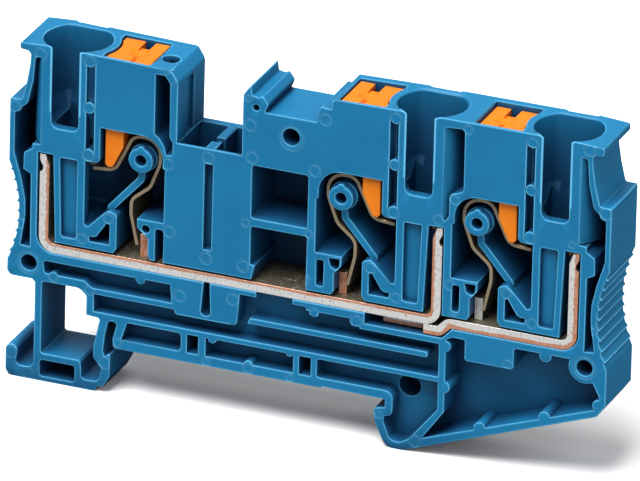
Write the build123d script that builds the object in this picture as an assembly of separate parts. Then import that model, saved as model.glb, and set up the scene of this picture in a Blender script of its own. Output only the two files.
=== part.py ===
from build123d import *
import math
import os

# A feed-through terminal block with three push-in connections, open at the front.
# Sizes are in millimetres. Places are given as x along the length from the left end,
# z up from the underside of the foot and d behind the open front face.
# Inside one connection, u runs across from the middle of its funnel towards its lever.

# Whole block
length = 74.2
pitch = 8.2
foot_depth = 7.3
back_wall = 1.1
hollow = pitch - back_wall
side_low_top = 41.95
side_high_top = 42.3
end_top = 42.5
ledge_z = 34.95

# Connections
end_offset = 6.85
unit_step = 16.73
slot_half = 1.68
slot_floor = 32.1
slot_round = 0.9
funnel_d = 3.75
funnel_r = 4.05
funnel_back = 7.0
funnel_corner = 1.4
funnel_rim = 0.2
funnel_cone_r = 3.0
funnel_neck = 34.2
throat_near = 1.85
throat_far = 2.85
throat_front = 1.3
throat_back = 6.3
tube_wall = 0.7
tube_play = 0.2
tube_r = funnel_r + tube_wall
tube_face = 2.95
block_floor = 28.75
plate_floor = 33.2
column_u = 2.62
column_plate = 1.3

# Current bars
bar_t = 1.2
bar_front = 0.15
bar_width = 6.7
bar_floor = 16.3
bar_top = bar_floor + bar_t
bar_bend = 0.8
bar_play = 0.2
bar_headroom = 0.3
leg_in = 1.85
leg_out = leg_in + bar_t
leg_shoulder = 26.3
leg_tip = 28.55
tongue_tip = 4.42
tongue_root = -0.98
tongue_front = 1.33
joggle_root = -4.28
contact_length = 2.9
contact_width = 2.0
contact_depth = 0.6
contact_slit = 0.3

# Lugs bent up from the bars to hold the springs
lug_u = 9.05
lug_t = 1.0
lug_height = 2.7
lug_front = 1.5
lug_width = 3.7

# Spring pins and springs
pin_u = 9.5
pin_z = 30.05
pin_r = 1.5
pin_hole_r = 0.69
spring_t = 0.4
spring_front = 1.1
spring_width = 5.7
spring_gap = 0.3
spring_touch = 0.02
loop_side = pin_r + spring_gap + spring_t / 2
loop_rise = 2.45
tongue_inset = 1.3
tongue_clear = 0.5

# Levers
lever_near = 4.6
lever_far = 10.1
lever_front = 0.55
lever_depth = 6.4
lever_play = 0.15
lever_sunk = 0.25
lever_travel = 2.3
lever_stop_gap = 0.3
tip_near = 4.85
tip_far = 7.1
tip_z = 28.25
tip_round = 0.6
stop_z = 33.95
notch_u = 7.7
notch_width = 1.2
notch_depth = 1.4
dish_r = 1.4
dish_depth = 0.6

# Foot, ribs and corner holes
seat_z = 5.85
rib_depth = 2.0
web = 1.2
corner_depth = 4.1
corner_u = 2.7
corner_z = 14.65
corner_hole_r = 0.98
grip_sag = 1.35
grip_low = 14.7
grip_high = 27.1
grip_teeth = 9
grip_step = 1.28

# Corners up to this radius are cut straight, since the eye can't tell
small_round = 0.5
cut_share = 0.7

# Gap for plug-in jumpers and channel for a label
jumper_near = 20.85
jumper_far = 28.75
jumper_floor = 33.1
jumper_front = 1.0
divider_near = 24.2
divider_far = 25.4
divider_neck = 0.45

half_length = length / 2
half_pitch = pitch / 2


class Unit:
    """Place of one connection: funnel middle, 1 or -1 for the side its lever is on, and top"""

    def __init__(self, name, middle, side, top):
        self.name = name
        self.middle = middle
        self.side = side
        self.top = top

    def x(self, u):
        return self.middle + self.side * u

    def points(self, listed):
        return [(self.x(u), z, r) for u, z, r in listed]


left = Unit("left", end_offset, 1, side_high_top)
right = Unit("right", length - end_offset, -1, end_top)
middle = Unit("middle", right.middle - unit_step, -1, side_high_top)
units = [left, middle, right]
tongue_start = middle.x(tongue_tip)
tongue_end = middle.x(tongue_root)
joggle_end = middle.x(joggle_root)


def corner(before, point, after):
    """Start, middle and end of the rounding at one corner, with no middle where it is straight"""
    here = Vector(point[0], point[1])
    back = (Vector(before[0], before[1]) - here).normalized()
    ahead = (Vector(after[0], after[1]) - here).normalized()
    radius = point[2]
    half = math.radians(back.get_angle(ahead)) / 2
    if radius == 0 or abs(half - math.pi / 2) < 0.01:
        return here, None, here
    run = radius / math.tan(half)
    if radius <= small_round:
        return here + back * run * cut_share, None, here + ahead * run * cut_share
    bulge = (back + ahead).normalized() * (radius / math.sin(half) - radius)
    return here + back * run, here + bulge, here + ahead * run


def path_edges(points, closed):
    """Lines and arcs through (x, z, corner radius) points"""
    count = len(points)
    corners = []
    for i in range(count):
        if closed or 0 < i < count - 1:
            corners.append(corner(points[i - 1], points[i], points[(i + 1) % count]))
        else:
            here = Vector(points[i][0], points[i][1])
            corners.append((here, None, here))
    edges = []
    for i in range(count):
        start, mid, end = corners[i]
        if mid is not None:
            edges.append(ThreePointArc(start, mid, end))
        elif (end - start).length > 1e-6:
            edges.append(Line(start, end))
        if i < count - 1 or closed:
            target = corners[(i + 1) % count][0]
            if (target - end).length > 1e-6:
                edges.append(Line(end, target))
    return edges


def centred(points):
    return [(x - half_length, z, r) for x, z, r in points]


def forward(face, d0, d1):
    """Face in x and z, drawn at depth d1 and filled forward to d0"""
    return extrude(Plane.XZ.offset(half_pitch - d1) * face, amount=d1 - d0, dir=(0, -1, 0))


def prism(points, d0, d1):
    """Outline of (x, z, corner radius) points, filled from depth d0 to d1"""
    return forward(make_face(path_edges(centred(points), True)), d0, d1)


def rod(x, z, radius, d0, d1, sides=None):
    """Round rod that runs in the depth direction, with flat sides where it is thin"""
    face = Circle(radius) if sides is None else RegularPolygon(radius, sides)
    return forward(Pos(x - half_length, z) * face, d0, d1)


def post(x, d, radius, z0, z1, top_radius=None):
    """Upright round post, or a cone when a top radius is given"""
    place = Pos(x - half_length, d - half_pitch, z0)
    low = (Align.CENTER, Align.CENTER, Align.MIN)
    if top_radius is None:
        return place * Cylinder(radius, z1 - z0, align=low)
    return place * Cone(radius, top_radius, z1 - z0, align=low)


def block(x0, x1, d0, d1, z0, z1):
    """Plain box between two places in each direction"""
    size = Box(abs(x1 - x0), d1 - d0, z1 - z0)
    return Pos((x0 + x1) / 2 - half_length, (d0 + d1) / 2 - half_pitch, (z0 + z1) / 2) * size


def lengthwise(points, x0, x1):
    """Outline of (d, z) points, filled from x0 to x1"""
    face = make_face(Polyline([(d - half_pitch, z) for d, z in points], close=True))
    return extrude(Plane.YZ.offset(x0 - half_length) * face, amount=x1 - x0)


def bore_piece(unit, z0, z1, taper):
    """Stretch of a funnel bore from z0 to z1, round with a flat back and soft corners"""
    plan = Circle(funnel_r) & Pos(0, funnel_back - funnel_d - funnel_r) * Rectangle(3 * funnel_r, 2 * funnel_r)
    plan = fillet(plan.vertices().group_by(Axis.Y)[-1], funnel_corner)
    return Pos(unit.middle - half_length, funnel_d - half_pitch, z0) * extrude(plan, amount=z1 - z0, taper=taper)


def squared(points):
    """The same outline with sharp corners"""
    return [(x, z, 0) for x, z, r in points]


def mirrored(points):
    """The same points at the other end of the block"""
    return [(length - x, z, r) for x, z, r in points]


def end_outline():
    """Left end from the overhanging top corner down to the corner block"""
    return [
        (4.9, side_high_top, 0),
        (1.1, side_high_top - 0.25, 0),
        (1.15, 41.3, 0),
        (2.5, 41.15, 0.5),
        (2.4, 39.5, 0),
        (2.05, 37.4, 0),
        (1.45, ledge_z, 0.3),
        (0, ledge_z, 0),
    ]


def foot_outline():
    """Underside from the left corner block through the foot and sprung claw to the seat"""
    return [
        (0, 12.67, 0.8),
        (3.5, 12.67, 0.5),
        (3.5, 1.45, 0.9),
        (1.25, 1.45, 0.6),
        (1.55, 3.95, 0.7),
        (0, 3.95, 0.7),
        (0, 0, 1.0),
        (11.2, 0, 0),
        (11.6, 0.7, 0),
        (12.3, 0.75, 0),
        (13.05, 2.2, 0.3),
        (13.05, 4.95, 0),
        (12.75, 4.95, 0),
        (12.4, 4.6, 0),
        (12.15, 5.2, 0.3),
        (12.35, 7.2, 0),
        (12.75, 9.2, 0.4),
        (13.85, 9.2, 0.4),
        (13.3, 6.9, 0.3),
        (13.5, seat_z, 0.3),
    ]


def claw_outline():
    """Right part of the underside: seat, fixed claw, belly and the rising underside"""
    return [
        (39.25, seat_z, 0),
        (39.4, seat_z + 0.2, 0),
        (47.2, seat_z + 0.1, 0),
        (47.2, 4.95, 0),
        (45.8, 4.65, 0.3),
        (46.0, 2.9, 0.8),
        (47.4, 0, 1.6),
        (49.6, 0, 1.5),
        (length - 1.05, 8.8, 0.7),
        (length, 10.3, 0.3),
    ]


def body_outline():
    """Whole front outline, taken round from the left overhang"""
    right_end = mirrored(end_outline())
    right_end = [(x, z + end_top - side_high_top if z > 41.9 else z, r) for x, z, r in right_end]
    tops = [
        (13.05 + left.middle, side_low_top, 0),
        (13.93 + left.middle, 40.6, 0),
        (13.93 + left.middle, jumper_floor, 0),
        (28.82, jumper_floor, 0),
        (28.82, 40.7, 0.8),
        (29.75, 42.05, 0),
        (29.95, 40.8, 0),
        (30.8, 40.65, 0),
        (31.2, 40.95, 0),
        (31.95, 40.0, 0),
        (31.55, 38.95, 0),
        (middle.x(12.72), 38.95, 0),
        (middle.x(12.72), 39.8, 0),
        (middle.x(12.17), 41.05, 0),
        (middle.x(11.72), 40.9, 0),
        (middle.x(10.87), 40.9, 0),
        (middle.x(10.87), side_low_top + 0.15, 0),
        (middle.x(slot_half), middle.top + 0.05, 0),
    ]
    around = list(reversed(end_outline()))
    around += tops
    around += right_end
    around += list(reversed(claw_outline()))
    around += list(reversed(foot_outline()))
    return around


def side_hollow():
    """Space between the outer wall and the funnel at the left end, with the slim pocket"""
    return [
        (end_offset - tube_face, 40.6, 0),
        (3.1, 40.6, 0.3),
        (2.85, 37.5, 0),
        (2.2, 34.6, 0.8),
        (0.65, 33.3, 0.5),
        (0.65, 28.2, 1.5),
        (1.6, 25.0, 0),
        (2.1, 22.6, 0),
        (2.15, 20.5, 2.0),
        (1.6, 16.75, 0),
        (2.8, 16.65, 0),
        (2.76, 25.8, 0),
        (1.8, 26.3, 0),
        (1.85, 28.4, 0.3),
        (2.9, 29.1, 0),
        (2.9, 29.7, 0),
        (end_offset - tube_face, 29.8, 0),
    ]


def grip(points_at_left):
    """Hollow arc of the finger grip and its teeth, for the left or the right end"""
    rise = (grip_high - grip_low) / 2
    radius = (rise ** 2 + grip_sag ** 2) / (2 * grip_sag)
    mid_z = (grip_high + grip_low) / 2
    centre_x = grip_sag - radius
    teeth = []
    for i in range(grip_teeth):
        z = mid_z + (grip_teeth - 1) / 2 * grip_step - i * grip_step
        x = centre_x + math.sqrt(radius ** 2 - (z - mid_z) ** 2)
        tooth = [(x + 0.3, z + 0.75, 0), (x - 0.28, z - 0.05, 0), (x + 0.3, z - 0.25, 0)]
        if not points_at_left:
            tooth = mirrored(tooth)
        teeth.append(prism(tooth, 0, pitch))
    x = centre_x if points_at_left else length - centre_x
    return rod(x, mid_z, radius, -1, pitch + 1), teeth


def clamp_hollow(unit, seat_u):
    """Front outline of the space for spring and lever tip in one connection"""
    return unit.points([
        (column_u, block_floor, 0),
        (4.45, block_floor, 0.6),
        (4.45, plate_floor, 0),
        (pin_u + 2.75, plate_floor, 2.75),
        (pin_u + 2.75, 29.55, 0),
        (12.5, 29.45, 0),
        (12.5, 22.75, 0),
        (9.2, 22.75, 0),
        (9.2, 21.6, 0.5),
        (seat_u, 20.5, 0.3),
        (seat_u, 18.3, 0),
        (seat_u + 0.5, bar_top + 0.1, 0),
        (6.15, bar_top + 0.1, 0),
        (6.7, 18.4, 0),
        (6.7, 22.7, 0.4),
        (5.7, 23.05, 0.3),
        (4.87, 22.4, 0),
        (2.95, 20.4, 0.3),
        (column_u, 20.9, 0),
    ])


def throat(unit):
    """Square way from the funnel to the clamping point"""
    return block(unit.x(-throat_near), unit.x(throat_far), throat_front, throat_back, block_floor - 0.5, 34)


def unit_cuts(unit, seat_u):
    """Everything taken away for one connection"""
    axis = unit.middle
    cuts = []
    cuts.append(prism(clamp_hollow(unit, seat_u), -1, hollow))
    # conductor way: funnel with its rim, cone, neck and the space behind the front column
    cuts.append(bore_piece(unit, funnel_neck, unit.top + 1, 0))
    cuts.append(bore_piece(unit, unit.top - funnel_rim, unit.top + 1, -45))
    cone_floor = slot_floor + 0.1
    taper = math.degrees(math.atan2(funnel_r - funnel_cone_r, funnel_neck - cone_floor))
    cuts.append(bore_piece(unit, funnel_neck, cone_floor, taper))
    cuts.append(throat(unit))
    near = unit.x(-leg_in - 0.1)
    far = unit.x(column_u + 0.4)
    cuts.append(block(near, far, column_plate, hollow, 21.0, block_floor))
    slot = unit.points([
        (-slot_half, 45, 0),
        (slot_half, 45, 0),
        (slot_half, slot_floor, slot_round),
        (-slot_half, slot_floor, slot_round),
    ])
    cuts.append(prism(slot, -1, funnel_d))
    # recess in the front of the column
    panel = unit.points([(-0.5, 28.6, 0.3), (1.65, 28.6, 0.3), (1.65, 18.7, 0.3), (-0.2, 18.7, 0.3)])
    cuts.append(prism(panel, -1, 0.7))
    # opening in the bracket that carries the pin arm
    window = unit.points([
        (5.45, 21.4, 0),
        (5.8, 21.3, 0),
        (5.8, 18.75, 0),
        (3.35, 18.75, 0),
        (3.3, 19.35, 0),
        (4.15, 19.4, 0.5),
    ])
    cuts.append(prism(window, -1, hollow))
    # lever shaft with the stop ledge below it
    near = lever_near - lever_play
    far = lever_far + lever_play
    front = lever_front - lever_play
    back = lever_front + lever_depth + lever_play
    shaft = block(unit.x(near), unit.x(far), front, back, stop_z, 45)
    shaft -= post(axis, funnel_d, tube_r + tube_play, stop_z, 45)
    cuts.append(shaft)
    cuts.append(block(unit.x(tip_near - lever_play), unit.x(tip_far + lever_play), front, back, 33, 35))
    # narrow groove between the funnel tube and the shaft wall
    groove = [(column_u, 29.6, 0), (3.68, 29.6, 0), (3.68, 41.0, 0), (column_u, 41.0, 0)]
    cuts.append(prism(unit.points(groove), -1, 1.6))
    # mark for the conductor on the back, level with the slot
    cuts.append(block(axis - slot_half - 0.2, axis + slot_half + 0.2, pitch - 0.3, pitch + 1, 33, 45))
    return cuts


def unit_adds(unit):
    """What stands inside the spaces of one connection"""
    pin = rod(unit.x(pin_u), pin_z, pin_r, 0, hollow)
    pin += rod(unit.x(pin_u), pin_z, pin_r + 0.2, 1.0, hollow)
    pin += rod(unit.x(pin_u), pin_z + pin_r - 0.15, 0.45, 0, hollow, 12)
    pin -= rod(unit.x(pin_u), pin_z, pin_hole_r, -1, 4.5)
    arm = unit.points([
        (pin_u - 0.5, pin_z - 1.0, 0),
        (pin_u + 0.35, pin_z - 1.0, 0),
        (pin_u + 0.15, 27.1, 0.5),
        (5.9, 22.8, 0),
        (5.1, 22.8, 0),
        (5.2, 23.3, 0.3),
        (pin_u - 0.65, 27.5, 0.4),
    ])
    adds = [pin, prism(arm, 0.9, hollow)]
    # ejector posts across the narrow groove
    for z in (unit.top - 1.05, ledge_z + 0.5, block_floor + 0.85):
        adds.append(rod(unit.x(3.0), z, 0.73, 0, column_plate, 8))
    return adds


def lower_pockets():
    """Shallow pockets between the long ribs under the bars"""
    pockets = []
    pockets.append([
        (4.5, 15.22, 0.3),
        (20.32, 15.22, 0),
        (20.55, 12.95, 0),
        (10.6, 12.95, 0.5),
        (9.6, 13.68, 0.8),
        (4.7, 13.68, 0.3),
    ])
    pockets.append([
        (10.9, 12.2, 0),
        (20.85, 12.2, 0),
        (21.0, 11.65, 0.3),
        (28.7, 11.65, 0.6),
        (29.0, 15.65, 0),
        (30.9, 15.65, 0),
        (35.5, 15.65, 0),
        (37.1, 15.65, 0),
        (37.2, 15.26, 0),
        (43.4, 15.26, 0.3),
        (43.9, 14.2, 0),
        (53.65, 14.2, 0),
        (53.65, 10.05, 0),
        (10.9, 10.05, 0),
    ])
    pockets.append([(14.4, 7.1, 0), (15.1, 9.38, 0.3), (21.8, 9.38, 0.5), (21.8, 7.1, 0.5)])
    pockets.append([(24.9, 7.08, 0), (24.9, 9.38, 0), (35.76, 9.38, 0), (35.76, 7.08, 0)])
    pockets.append([
        (38.72, 9.38, 0.3),
        (53.65, 9.38, 0),
        (53.65, 5.9, 0.3),
        (50.2, 1.55, 0.9),
        (49.2, 0.95, 0.4),
        (48.0, 0.95, 0.8),
        (47.1, 3.1, 0.4),
        (47.15, 3.85, 0),
        (48.15, 4.1, 0.7),
        (48.2, 7.1, 1.1),
        (38.72, 7.1, 0.3),
    ])
    return pockets


def corner_pocket():
    """Large pocket behind the rising underside at the right end"""
    return [
        (54.5, 14.9, 0.3),
        (55.3, 15.3, 0.3),
        (56.8, 15.3, 0.3),
        (56.8, 12.7, 0.4),
        (62.85, 12.7, 0.4),
        (62.85, 15.4, 0.3),
        (length - 4.0, 15.4, 0),
        (length - 2.8, 12.9, 0),
        (length - 1.6, 12.85, 0),
        (length - 0.75, 11.2, 0.4),
        (length - 1.1, 9.7, 0.4),
        (51.9, 2.0, 0),
        (54.5, 5.75, 0.3),
    ]


def bar_ways():
    """Spaces for the two current bars"""
    roof = bar_top + bar_headroom
    ways = []
    ways.append(prism([
        (left.x(-leg_out - bar_play), block_floor, 0),
        (left.x(-leg_in + 0.5), block_floor, 0),
        (left.x(-leg_in + 0.9), roof, 0),
        (middle.x(-leg_in + 0.9), roof, 0),
        (middle.x(-leg_in + 0.5), block_floor, 0),
        (middle.x(-leg_out - bar_play), block_floor, 0),
        (middle.x(-leg_out - bar_play), bar_floor, 0),
        (left.x(-leg_out - bar_play), bar_floor, bar_bend + bar_t + bar_play),
    ], -1, hollow))
    ways.append(prism([
        (middle.x(-leg_out + 0.5), bar_floor, 0),
        (middle.x(-leg_out + 0.5), roof, 0),
        (right.x(-leg_in + 0.9), roof, 0),
        (right.x(-leg_in + 0.5), block_floor, 0),
        (right.x(-leg_out - bar_play), block_floor, 0),
        (right.x(-leg_out - bar_play), bar_floor, bar_bend + bar_t + bar_play),
    ], -1, hollow))
    tongue_low = bar_floor - bar_t - 0.12
    ways.append(prism([
        (tongue_start - 1.8, bar_floor + 0.1, 0),
        (joggle_end + 0.35, bar_floor + 0.1, 0),
        (joggle_end + 0.25, bar_floor, 0.3),
        (joggle_end - 0.95, tongue_low, 0.3),
        (tongue_start - 1.8, tongue_low, 0),
    ], -1, hollow))
    return ways


def foot_cuts():
    """Openings in the foot, seen right through from the front"""
    opening = [
        (4.4, 12.6, 0.3),
        (9.1, 12.6, 0.9),
        (9.95, 11.8, 0.3),
        (9.95, 9.42, 0),
        (11.7, 9.3, 0.3),
        (11.4, 7.8, 0),
        (10.95, 5.6, 0),
        (10.95, 4.2, 0.6),
        (12.0, 3.0, 0.6),
        (11.6, 1.2, 0.9),
        (9.55, 1.2, 0.5),
        (9.4, 3.5, 0.4),
        (4.4, 3.5, 0.3),
    ]
    box_pocket = [(4.3, 0.6, 0.3), (4.3, 2.65, 0.3), (8.65, 2.65, 0.3), (8.65, 0.6, 0.3)]
    cuts = [prism(opening, -1, pitch + 1)]
    cuts.append(prism(box_pocket, -1, 5.0))
    cuts.append(block(-1, 14, foot_depth, pitch + 1, -1, 12.5))
    return cuts


def centre_cuts():
    """Windows, jumper shafts, slits and round holes in the middle of the block"""
    roof = bar_top + bar_headroom
    cuts = []
    near = middle.x(20.47)
    far = middle.x(13.54)
    upper = [(near, 25.5, 0.3), (far, 25.5, 0.3), (far, 32.1, 0.3), (near, 32.1, 0.3)]
    lower = [
        (near, 19.7, 0),
        (near + 0.55, 19.6, 0),
        (near + 0.15, roof - 0.1, 0),
        (far, roof - 0.1, 0),
        (far, 24.45, 0.3),
        (near, 24.45, 0.3),
    ]
    cuts.append(prism(upper, -1, hollow))
    cuts.append(prism(lower, -1, hollow))
    # two jumper shafts, with a slope behind the front wall and a neck in the divider
    slope = [(0.25, jumper_floor + 0.1), (jumper_front + 0.1, jumper_floor - 0.65), (jumper_front + 0.1, 34)]
    for x0, x1 in [(jumper_near, divider_near), (divider_far, jumper_far)]:
        cuts.append(block(x0, x1, jumper_front, hollow, roof - 0.1, 40))
        cuts.append(lengthwise(slope, x0, x1))
    neck = (divider_far - divider_near - divider_neck) / 2
    for x0, x1 in [(divider_near - 0.2, divider_near + neck), (divider_far - neck, divider_far + 0.2)]:
        cuts.append(block(x0, x1, 2.3, 3.6, 31.0, 40))
    cuts.append(block(divider_near, divider_far, 2.3, 3.6, jumper_floor - 0.4, 40))
    cuts.append(prism([(24.3, 20.45, 0), (25.3, 20.45, 0), (25.3, 31.2, 0), (24.3, 31.2, 0)], -1, 1.0))
    # pocket and test hole beside the left lever
    side_pocket = left.points([
        (11.15, 41.2, 0),
        (12.3, 41.2, 0),
        (12.95, 40.3, 0),
        (12.95, 33.7, 0),
        (13.4, 33.0, 0.3),
        (13.4, 31.4, 0.3),
        (12.6, 31.35, 0),
        (12.4, 32.3, 0),
        (11.8, 33.2, 0),
        (11.15, 33.8, 0),
    ])
    cuts.append(prism(side_pocket, -1, hollow))
    cuts.append(post(left.x(11.75), 3.2, 1.05, 40, 43))
    cuts.append(block(left.x(13.5), left.x(15), 2.8, 5.0, 33.1, 40))
    # pocket between the middle funnel and the right connection
    between = [
        (middle.x(-tube_face), 41.3, 0),
        (middle.x(-5.48), 41.4, 0.4),
        (middle.x(-5.48), 33.7, 0.6),
        (middle.x(-3.98), 33.1, 0),
        (middle.x(-3.78), 32.7, 0),
        (middle.x(-3.78), 30.3, 0),
        (middle.x(-3.28), 29.7, 0),
        (middle.x(-tube_face), 30.0, 0),
    ]
    cuts.append(prism(between, -1, hollow))
    cuts.append(rod(30.45, 39.35, 0.4, -1, 3.0, 12))
    cuts.append(rod(34.85, 36.5, 1.05, -1, 5.0))
    for x0, x1 in [(22.57, 23.95), (36.5, 37.95)]:
        cuts.append(block(x0, x1, -1, pitch + 1, 7.08, 9.35))
    keyhole = [(24.5, 16.5, 0), (25.2, 16.5, 0), (25.4, 12.15, 0.5), (24.15, 12.15, 0.5)]
    cuts.append(prism(keyhole, -1, rib_depth))
    cuts.append(block(31.0, 35.5, -1, rib_depth, 15.5, bar_floor + 0.1))
    cuts.append(rod(49.5, 7.4, 1.34, -1, 5.0))
    # slits beside the spring lugs
    slit = [(11.5, 17.6, 0), (11.5, 21.85, 0.3), (12.5, 21.85, 0.3), (12.5, 17.6, 0)]
    cuts.append(prism(left.points(slit), -1, hollow))
    for unit in (middle, right):
        slit = [(11.4, 18.6, 0.3), (11.4, 21.9, 0.3), (12.3, 21.9, 0.3), (12.3, 18.6, 0.3)]
        eye = [(9.45, 22.35, 0), (10.8, 22.35, 0), (10.55, 21.3, 0.3), (9.9, 20.95, 0.3), (9.5, 21.4, 0)]
        cuts.append(prism(unit.points(slit), -1, hollow))
        cuts.append(prism(unit.points(eye), -1, 4.0))
    cuts.append(rod(left.x(10.3), 21.6, 0.5, -1, 4.0, 12))
    return cuts


def ejector_posts():
    """Round posts that stick out of the thin ribs where the mould pushes the part out"""
    shallow = [
        (16.64, 15.17, 0.6),
        (5.8, 13.5, 0.55),
        (25.7, 9.4, 0.55),
        (35.3, 9.5, 0.45),
        (30.24, 6.95, 0.6),
        (38.2, 15.2, 0.6),
        (43.3, 15.1, 0.7),
    ]
    deep = [
        (54.35, 14.05, 0.75),
        (54.35, 8.9, 0.75),
        (58.9, 4.6, 0.72),
        (66.8, 7.5, 0.72),
        (73.3, 10.2, 0.72),
        (66.7, 15.2, 0.75),
    ]
    posts = [rod(x, z, r, 0, rib_depth + 0.2) for x, z, r in shallow]
    posts += [rod(x, z, r, 0, corner_depth + 0.2) for x, z, r in deep]
    for x in (0.74, length - 0.74):
        posts.append(rod(x, ledge_z - 0.9, 0.73, 0, hollow))
    return posts


def make_housing():
    """The blue moulded body as one solid"""
    body = prism(body_outline(), 0, pitch)
    cuts = []
    for points in (side_hollow(), mirrored(side_hollow())):
        cuts.append(prism(points, -1, hollow))
    pockets = lower_pockets()
    for points in pockets:
        cuts.append(prism(points, -1, rib_depth))
    # the same pockets from the back, but not behind the round hole beside the fixed claw
    for points in pockets[:-1]:
        cuts.append(prism(squared(points), rib_depth + web, pitch + 1))
    cuts.append(prism(corner_pocket(), -1, corner_depth))
    cuts.append(prism(squared(corner_pocket()), corner_depth + web, pitch + 1))
    cuts += foot_cuts()
    cuts += centre_cuts()
    left_arc, left_teeth = grip(True)
    right_arc, right_teeth = grip(False)
    cuts += [left_arc, right_arc]
    body = body - cuts
    # funnels stand free in the side spaces
    adds = left_teeth + right_teeth + ejector_posts()
    for unit in units:
        tube = post(unit.middle, funnel_d, tube_r, 29.9, 41.5)
        tube &= block(unit.middle, unit.x(-tube_r), 0, hollow + 0.1, 29, 42)
        tube_far = post(unit.middle, funnel_d, tube_r, 29.6, 41.0)
        tube_far &= block(unit.middle, unit.x(3.7), 0, 2.0, 29, 42)
        adds += [tube, tube_far]
    adds.append(rod(length - corner_u, corner_z, 1.95, 0, pitch))
    rib = [(30.0, 12.2, 0), (52.3, 12.2, 0.3), (52.3, 12.92, 0.3), (30.3, 12.92, 0)]
    adds.append(prism(rib, 0, pitch))
    body = body + adds
    body = body - [cut for unit in units for cut in unit_cuts(unit, 10.6 if unit is left else 10.1)]
    body = body - bar_ways()
    body = body + [add for unit in units for add in unit_adds(unit)]
    for x in (corner_u, length - corner_u):
        body -= rod(x, corner_z, corner_hole_r, -1, 6.0)
    return body


def leg_end(unit):
    """Necked tip on top of a contact leg"""
    listed = [
        (0, leg_shoulder - 1, 0),
        (0, 27.2, 0.6),
        (0.5, leg_tip, 0),
        (bar_t, leg_tip + 0.05, 0),
        (bar_t, 27.8, 0),
        (0.8, 27.0, 0),
        (0.85, 26.5, 0),
        (bar_t, leg_shoulder, 0),
        (bar_t, leg_shoulder - 1, 0),
    ]
    points = [(unit.x(-leg_in - across), z, r) for across, z, r in listed]
    return prism(points, bar_front, bar_front + bar_width)


def strip(points, thick, d0, width):
    """Flat strip of even thickness bent along a path"""
    path = Wire(path_edges(centred(points), False))
    path = Plane.XZ.offset(half_pitch - d0 - width / 2) * path
    start = Plane(origin=path @ 0, x_dir=(0, 1, 0), z_dir=path % 0)
    return sweep(start * Rectangle(width, thick), path=path)


def lug(unit):
    """Upright lug that holds the lower end of a spring"""
    near = unit.x(lug_u)
    far = unit.x(lug_u + lug_t)
    return block(near, far, lug_front, lug_front + lug_width, bar_top - 0.2, bar_top + lug_height)


def contact_slot(x):
    """Pressed trough with a narrow slit, which a plug-in contact goes into"""
    d = bar_front + bar_width / 2
    x_low = contact_length / 3
    x_high = contact_length * 5 / 6
    y_low = contact_width / 2 - contact_slit / 2
    y_high = contact_width / 2 + contact_slit / 2
    shape = Wedge(contact_length, contact_depth, contact_width, x_low, y_low, x_high, y_high)
    trough = Pos(x - half_length, d - half_pitch, bar_top - contact_depth / 2) * Rot(-90, 0, 0) * shape
    slit = block(x - contact_length / 6, x + contact_length / 3, d - contact_slit / 2, d + contact_slit / 2,
                 bar_floor - 1, bar_top)
    return trough + slit


def make_busbar_main():
    mid = bar_floor + bar_t / 2
    bend = bar_bend + bar_t / 2
    leg = leg_in + bar_t / 2
    path = [
        (left.x(-leg), leg_shoulder, 0),
        (left.x(-leg), mid, bend),
        (middle.x(-leg), mid, bend),
        (middle.x(-leg), leg_shoulder, 0),
    ]
    bar = strip(path, bar_t, bar_front, bar_width)
    bar += [leg_end(left), leg_end(middle), lug(left), lug(middle)]
    for x in (left.x(15.65), left.x(20.25), middle.x(17.12)):
        bar -= contact_slot(x)
    return bar


def make_busbar_branch():
    mid = bar_floor + bar_t / 2
    low = bar_floor - bar_t / 2
    bend = bar_bend + bar_t / 2
    leg = leg_in + bar_t / 2
    path = [
        (tongue_start, low, 0),
        (joggle_end - 1.35, low, 0.9),
        (joggle_end - 0.2, mid, 0.9),
        (right.x(-leg), mid, bend),
        (right.x(-leg), leg_shoulder, 0),
    ]
    bar = strip(path, bar_t, bar_front, bar_width)
    bar += [leg_end(right), lug(right)]
    narrow = tongue_front - bar_front
    bar -= block(tongue_start - 1, tongue_end, 0, bar_front + narrow, low - 1, low + 1)
    bar -= block(tongue_start - 1, tongue_end, bar_front + bar_width - narrow, pitch, low - 1, low + 1)
    return bar


def make_spring(unit):
    """Leaf spring: clamping limb with a narrow tongue, loop over the pin, supporting limb"""
    end_u = lug_u - spring_t / 2 - spring_touch
    path = unit.points([
        (-leg_in + tongue_clear, 27.2, 0),
        (pin_u - 3.6, 27.75, 1.5),
        (pin_u - 1.34, pin_z + loop_rise, 1.5),
        (pin_u + loop_side, pin_z + loop_rise, 2.0),
        (pin_u + loop_side, pin_z - 0.45, 2.5),
        (pin_u + 0.8, pin_z - 3.65, 1.6),
        (pin_u - 1.5, pin_z - 5.55, 1.4),
        (pin_u - 1.5, pin_z - 7.45, 2.5),
        (end_u, bar_top + 1.4, 0),
    ])
    spring = strip(path, spring_t, spring_front, spring_width)
    near = unit.x(-leg_in)
    far = unit.x(3.2)
    spring -= block(near, far, 0, spring_front + tongue_inset, 26, 29)
    spring -= block(near, far, spring_front + spring_width - tongue_inset, pitch, 26, 29)
    return spring


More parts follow.
